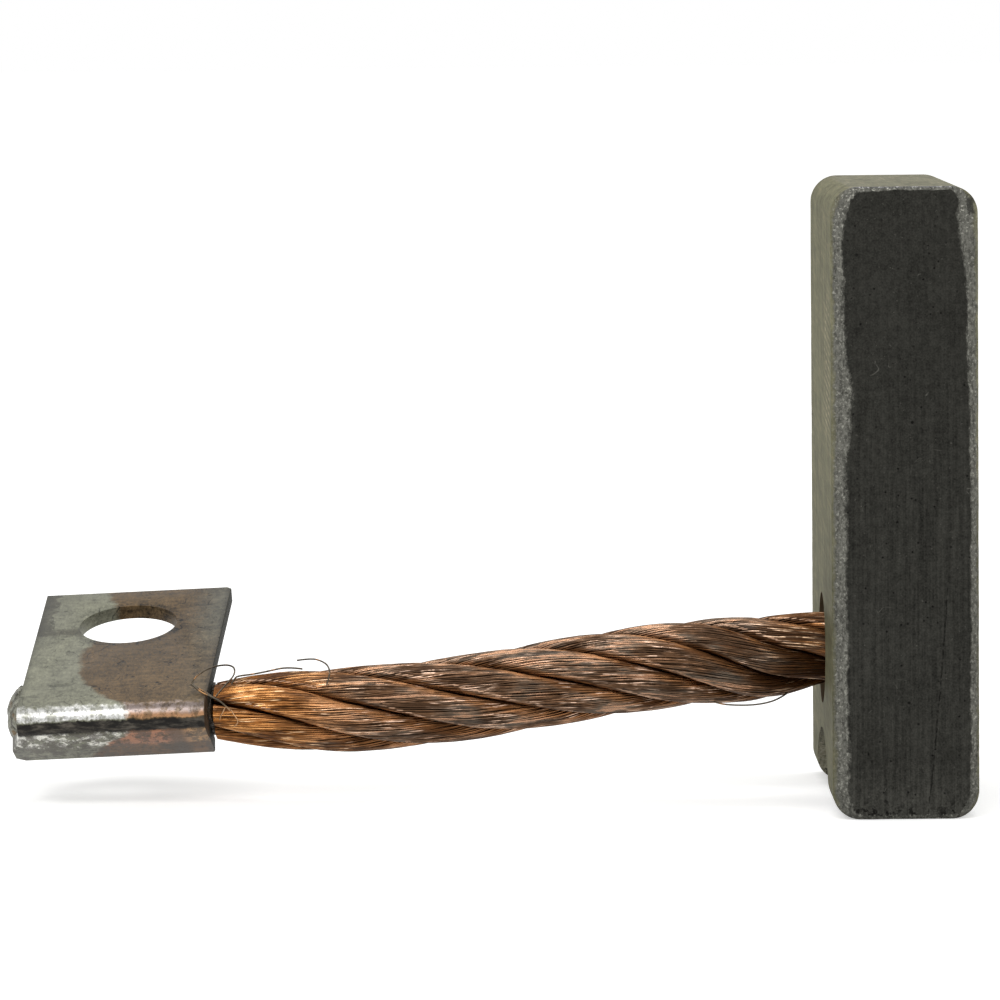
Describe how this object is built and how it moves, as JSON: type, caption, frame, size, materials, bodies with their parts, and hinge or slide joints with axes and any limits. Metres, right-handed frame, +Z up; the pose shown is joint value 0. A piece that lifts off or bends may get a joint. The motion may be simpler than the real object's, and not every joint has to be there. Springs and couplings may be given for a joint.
{
  "type": "carbon brush",
  "caption": "Carbon block brush with a short twisted copper lead tamped into its side and a folded screw terminal welded to the far end of the lead.",
  "frame": {"origin": "centre of the bounding box, at the foot of the carbon block, in the plane its end face with the spring groove stands on", "axes": "+Z up from the grooved end of the block to its running face; +X from the terminal along the lead to the block; +Y towards the back"},
  "size_m": [0.054, 0.0228, 0.0345],
  "materials": {
    "carbon": "matt copper-graphite with a dull sheen and chipped edges",
    "copper_powder": "dull, tamped copper powder",
    "copper_wire": "tarnished fine copper wire with bright glints",
    "welded_copper": "fused copper wire ends, half tinned",
    "tinned_copper": "satin sheet copper, tinned at one end and oxidised brown at the other"
  },
  "bodies": {
    "root": {"carbon_block": "carbon", "tamped_powder": "copper_powder", "core_strand": "copper_wire", "strand_1": "copper_wire", "strand_2": "copper_wire", "strand_3": "copper_wire", "strand_4": "copper_wire", "strand_5": "copper_wire", "strand_6": "copper_wire", "welded_wire_end": "welded_copper", "terminal": "tinned_copper"}
  },
  "joints": []
}
